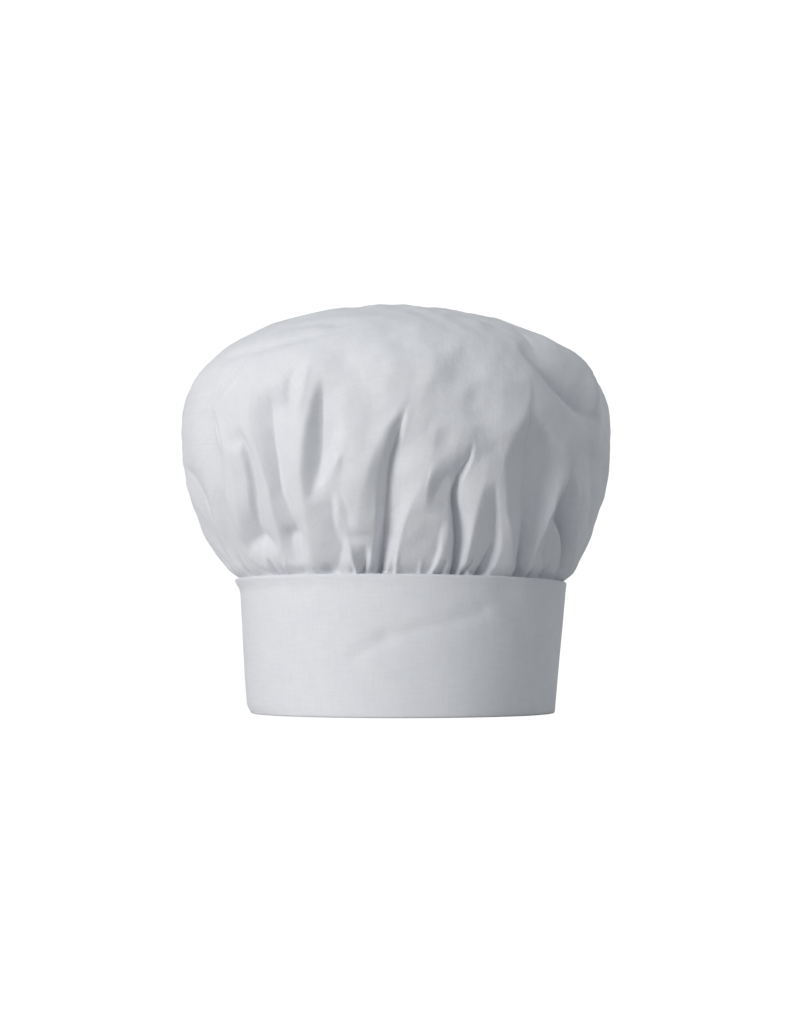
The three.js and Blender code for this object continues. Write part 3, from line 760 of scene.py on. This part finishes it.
def math_node(tree, operation, first, second=0.0):
    """The output of a Math node on two values or links."""
    return add(tree, "ShaderNodeMath", {0: first, 1: second}, operation=operation).outputs[0]


# %% The weave group
def weave_group():
    """Height of a plain weave in which warp and weft take turns on top: the size of each thread's sine, with
    the one on top chosen by the sign of the two sines' product, and slubs as noise stretched along them."""
    group = bpy.data.node_groups.new("plain_weave", "ShaderNodeTree")
    for name in ("Threads", "Slubs"):
        group.interface.new_socket(name, in_out="INPUT", socket_type="NodeSocketFloat")
    group.interface.new_socket("Vector", in_out="INPUT", socket_type="NodeSocketVector")
    for name in ("Height", "Slub"):
        group.interface.new_socket(name, in_out="OUTPUT", socket_type="NodeSocketFloat")
    start = group.nodes.new("NodeGroupInput")
    scaled = add(group, "ShaderNodeVectorMath", {0: start.outputs["Vector"]}, operation="SCALE")
    group.links.new(start.outputs["Threads"], scaled.inputs["Scale"])
    split = add(group, "ShaderNodeSeparateXYZ", {0: scaled.outputs[0]})
    turns = [math_node(group, "MULTIPLY", split.outputs[k], math.pi) for k in (0, 1)]
    waves = [math_node(group, "SINE", angle) for angle in turns]
    threads = [math_node(group, "ABSOLUTE", wave) for wave in waves]
    over = math_node(group, "GREATER_THAN", math_node(group, "MULTIPLY", waves[0], waves[1]), 0.0)
    top = math_node(group, "MULTIPLY", threads[0], over)
    below = math_node(group, "MULTIPLY", threads[1], math_node(group, "SUBTRACT", 1.0, over))
    stretch = []
    for scale in ((80.0, 800.0, 1.0), (800.0, 80.0, 1.0)):
        mapped = add(group, "ShaderNodeMapping", {"Vector": start.outputs["Vector"], "Scale": scale})
        noise = add(group, "ShaderNodeTexNoise", {"Vector": mapped.outputs[0], "Scale": 1.0, "Detail": 2.0})
        stretch.append(noise.outputs["Fac"])
    slub = math_node(group, "MULTIPLY", math_node(group, "ADD", stretch[0], stretch[1]), 0.5)
    slub = math_node(group, "MULTIPLY", math_node(group, "SUBTRACT", slub, 0.5), start.outputs["Slubs"])
    end = group.nodes.new("NodeGroupOutput")
    threads_height = math_node(group, "ADD", top, below)
    group.links.new(math_node(group, "ADD", threads_height, slub), end.inputs["Height"])
    group.links.new(slub, end.inputs["Slub"])
    return group


WEAVE = weave_group()
print("the weave group has", len(WEAVE.nodes), "nodes")

# %% [markdown]
# White cotton is never one even tone. A soft noise moves it between a cool white and a paler one, and the
# same noise makes it a little rougher there and raises faint crumples, as a bump on top of the weave's own.

# %% The cotton material
COOL_WHITE, PALE_WHITE = (0.745, 0.76, 0.80, 1), (0.805, 0.81, 0.84, 1)
SLUBS = 1.4
THREAD_TONE = 0.12  # how much a slub changes the tone
THREAD_BUMP, CRUMPLE_BUMP = 0.00005, 0.0004


def cotton(name, threads_per_m):
    """A matt white whose thread count is given for a metre of cloth, because the uv are in metres."""
    material = bpy.data.materials.new(name)
    material.use_nodes = True
    tree = material.node_tree
    tree.nodes.clear()
    place = add(tree, "ShaderNodeUVMap", uv_map="cloth").outputs[0]
    weave = add(tree, "ShaderNodeGroup", node_tree=WEAVE)
    tree.links.new(place, weave.inputs["Vector"])
    weave.inputs["Threads"].default_value = threads_per_m
    weave.inputs["Slubs"].default_value = SLUBS
    grain = {"Vector": place, "Scale": 70.0, "Detail": 5.0, "Roughness": 0.55}
    soft = add(tree, "ShaderNodeTexNoise", grain)
    tone = add(tree, "ShaderNodeMix", {0: soft.outputs["Fac"]}, data_type="RGBA")
    tone.inputs["A"].default_value = COOL_WHITE
    tone.inputs["B"].default_value = PALE_WHITE
    shade = add(tree, "ShaderNodeMix", data_type="RGBA", blend_type="MULTIPLY")
    shade.inputs["Factor"].default_value = 1.0
    tree.links.new(tone.outputs["Result"], shade.inputs["A"])
    slub = math_node(tree, "MULTIPLY", weave.outputs["Slub"], THREAD_TONE)
    tree.links.new(math_node(tree, "ADD", 1.0, slub), shade.inputs["B"])
    fine = add(tree, "ShaderNodeBump", {
        "Height": weave.outputs["Height"],
        "Strength": 0.25,
        "Distance": THREAD_BUMP,
    })
    broad = add(tree, "ShaderNodeBump", {
        "Height": soft.outputs["Fac"],
        "Strength": 1.0,
        "Distance": CRUMPLE_BUMP,
        "Normal": fine.outputs[0],
    })
    rough = add(tree, "ShaderNodeMapRange", {"Value": soft.outputs["Fac"], "To Min": 0.78, "To Max": 0.92})
    shader = add(tree, "ShaderNodeBsdfPrincipled", {
        "Base Color": shade.outputs["Result"],
        "Roughness": rough.outputs[0],
        "Normal": broad.outputs[0],
        "Sheen Weight": 0.15,
        "Sheen Roughness": 0.4,
        "Specular IOR Level": 0.25,
    })
    out = tree.nodes.new("ShaderNodeOutputMaterial")
    tree.links.new(shader.outputs[0], out.inputs["Surface"])
    return material


band.data.materials.append(cotton("band_cotton_finish", 2000.0))
crown.data.materials.append(cotton("crown_cotton_finish", 2400.0))
print("finishes:", band.data.materials[0].name, crown.data.materials[0].name)

# %% [markdown]
# ## Thickness
# The crown is one thin layer. A second surface inside it would do, but a Solidify modifier makes the same
# wall, inwards from the outside face, and closes it along the edge.

# %% Give the crown its wall
CROWN_CLOTH = 0.7 * MM
wall = crown.modifiers.new("wall", "SOLIDIFY")
wall.thickness = CROWN_CLOTH
wall.offset = -1
wall.use_even_offset = False
print("the crown's cloth is", round(CROWN_CLOTH / MM, 1), "mm thick")

# %% [markdown]
# ## Riding on the frame
# The row has no joints, so it has one body. Each piece of cloth replaces the plain solid that stands in its
# place.

# %% Tell the frame about the pieces
for piece, node in ((band, "band"), (crown, "crown")):
    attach(piece, "root")
    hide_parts(node)

# %% [markdown]
# ## Stage, light and camera
# The photograph is a plain studio one on white. The camera sees the floor and the room as bright white,
# while the light that they give to the hat is weaker, or its shaded side would be as pale as the lit one.
# A Light Path node tells the two apart.

# %% The floor
FLOOR_RADIUS = 4.0
FLOOR_GREY = 0.6  # what the floor gives back to the hat
FLOOR_SEEN = 1.02


def make_floor():
    """A disk at height 0, which lets what comes from below through."""
    angle = np.linspace(0, 2 * np.pi, 97)[:-1]
    rim = FLOOR_RADIUS * np.stack([np.cos(angle), np.sin(angle), np.zeros_like(angle)], axis=1)
    mesh = bpy.data.meshes.new("floor")
    mesh.from_pydata(rim, [], [list(range(len(rim)))])
    floor = new_piece("floor", mesh)
    grey = (FLOOR_GREY, FLOOR_GREY, FLOOR_GREY, 1)
    material = bpy.data.materials.new("pale_floor")
    material.use_nodes = True
    tree = material.node_tree
    tree.nodes.clear()
    matt = add(tree, "ShaderNodeBsdfDiffuse", {"Color": grey})
    bright = add(tree, "ShaderNodeEmission", {"Color": (1, 1, 1, 1), "Strength": FLOOR_SEEN})
    seen = add(tree, "ShaderNodeLightPath").outputs["Is Camera Ray"]
    pale = add(tree, "ShaderNodeMixShader", {0: seen, 1: matt.outputs[0], 2: bright.outputs[0]})
    seen_from_below = add(tree, "ShaderNodeNewGeometry").outputs["Backfacing"]
    clear = add(tree, "ShaderNodeBsdfTransparent")
    mix = add(tree, "ShaderNodeMixShader", {0: seen_from_below, 1: pale.outputs[0], 2: clear.outputs[0]})
    out = tree.nodes.new("ShaderNodeOutputMaterial")
    tree.links.new(mix.outputs[0], out.inputs["Surface"])
    floor.data.materials.append(material)
    return floor


make_floor()
print("the floor is", 2 * FLOOR_RADIUS, "m across")

# %% The white room
LEVEL_GLOW, UPPER_GLOW = 0.345, 0.45  # what the room gives the hat from the side, and from straight above
ROOM_SEEN = 1.05
world = bpy.data.worlds.new("white_room")
bpy.context.scene.world = world
world.use_nodes = True
tree = world.node_tree
tree.nodes.clear()
seen = add(tree, "ShaderNodeLightPath").outputs["Is Camera Ray"]
look = add(tree, "ShaderNodeTexCoord").outputs["Generated"]
upwards = add(tree, "ShaderNodeSeparateXYZ", {0: look}).outputs["Z"]
glow = add(tree, "ShaderNodeMapRange", {
    "Value": upwards,
    "From Min": 0.0,
    "To Min": LEVEL_GLOW,
    "To Max": UPPER_GLOW,
})
fill = add(tree, "ShaderNodeBackground", {"Color": (0.93, 0.97, 1.0, 1), "Strength": glow.outputs[0]})
white = add(tree, "ShaderNodeBackground", {"Color": (1, 1, 1, 1), "Strength": ROOM_SEEN})
room = add(tree, "ShaderNodeMixShader", {0: seen, 1: fill.outputs[0], 2: white.outputs[0]})
end = tree.nodes.new("ShaderNodeOutputWorld")
tree.links.new(room.outputs[0], end.inputs["Surface"])
print("the room gives", LEVEL_GLOW, "to", UPPER_GLOW)

# %% [markdown]
# Three lamps light the hat: a broad strong one from the left of the front, low enough to draw out the folds,
# a weak one from behind on the right, which keeps the shaded side from going black, and a weak one from
# above.

# %% The lamps
LAMPS = table("name azimuth elevation power colour", [
    ("key", -45, 12, 22.2, (1.0, 0.985, 0.965)),
    ("side", 140, 10, 3.5, (0.97, 0.985, 1.0)),
    ("top", 50, 70, 2.5, (0.97, 0.985, 1.0)),
])
LAMP_DISTANCE, LAMP_WIDTH = 2.0, 1.0
HAT_MIDDLE = 0.13


def make_lamp(name, azimuth, elevation, power, colour):
    """An area lamp that looks at the hat's middle from a direction."""
    data = bpy.data.lights.new(name, "AREA")
    data.shape = "DISK"
    data.size = LAMP_WIDTH
    data.energy = power
    data.color = colour
    light = bpy.data.objects.new(name, data)
    bpy.context.scene.collection.objects.link(light)
    a, e = math.radians(azimuth), math.radians(elevation)
    direction = np.array([math.sin(a) * math.cos(e), -math.cos(a) * math.cos(e), math.sin(e)])
    light.location = direction * LAMP_DISTANCE + np.array([0, 0, HAT_MIDDLE])
    light.rotation_euler = (math.pi / 2 - e, 0, a)


for row in LAMPS:
    make_lamp(**row)
    print("lamp:", row["name"], row["power"], "W")

# %% [markdown]
# In the photograph the band's upper edge bows upwards and its lower edge a little downwards, so the camera
# is at a height between them. How much they bow, and how wide the hat is in the picture, give the camera's
# height, its distance and its lens.

# %% The camera
CAMERA_DISTANCE = 1.0
CAMERA_HEIGHT = 0.031
CAMERA_PITCH = 5.13
CAMERA_LENS = 58.2
camera_data = bpy.data.cameras.new("camera")
camera_data.lens = CAMERA_LENS
camera = bpy.data.objects.new("camera", camera_data)
bpy.context.scene.collection.objects.link(camera)
camera.location = (0, -CAMERA_DISTANCE, CAMERA_HEIGHT)
camera.rotation_euler = (math.radians(90 + CAMERA_PITCH), 0, 0)
bpy.context.scene.camera = camera
bpy.context.scene.view_settings.view_transform = "Standard"
print("the camera is", CAMERA_DISTANCE, "m away and looks up by", CAMERA_PITCH, "degrees")
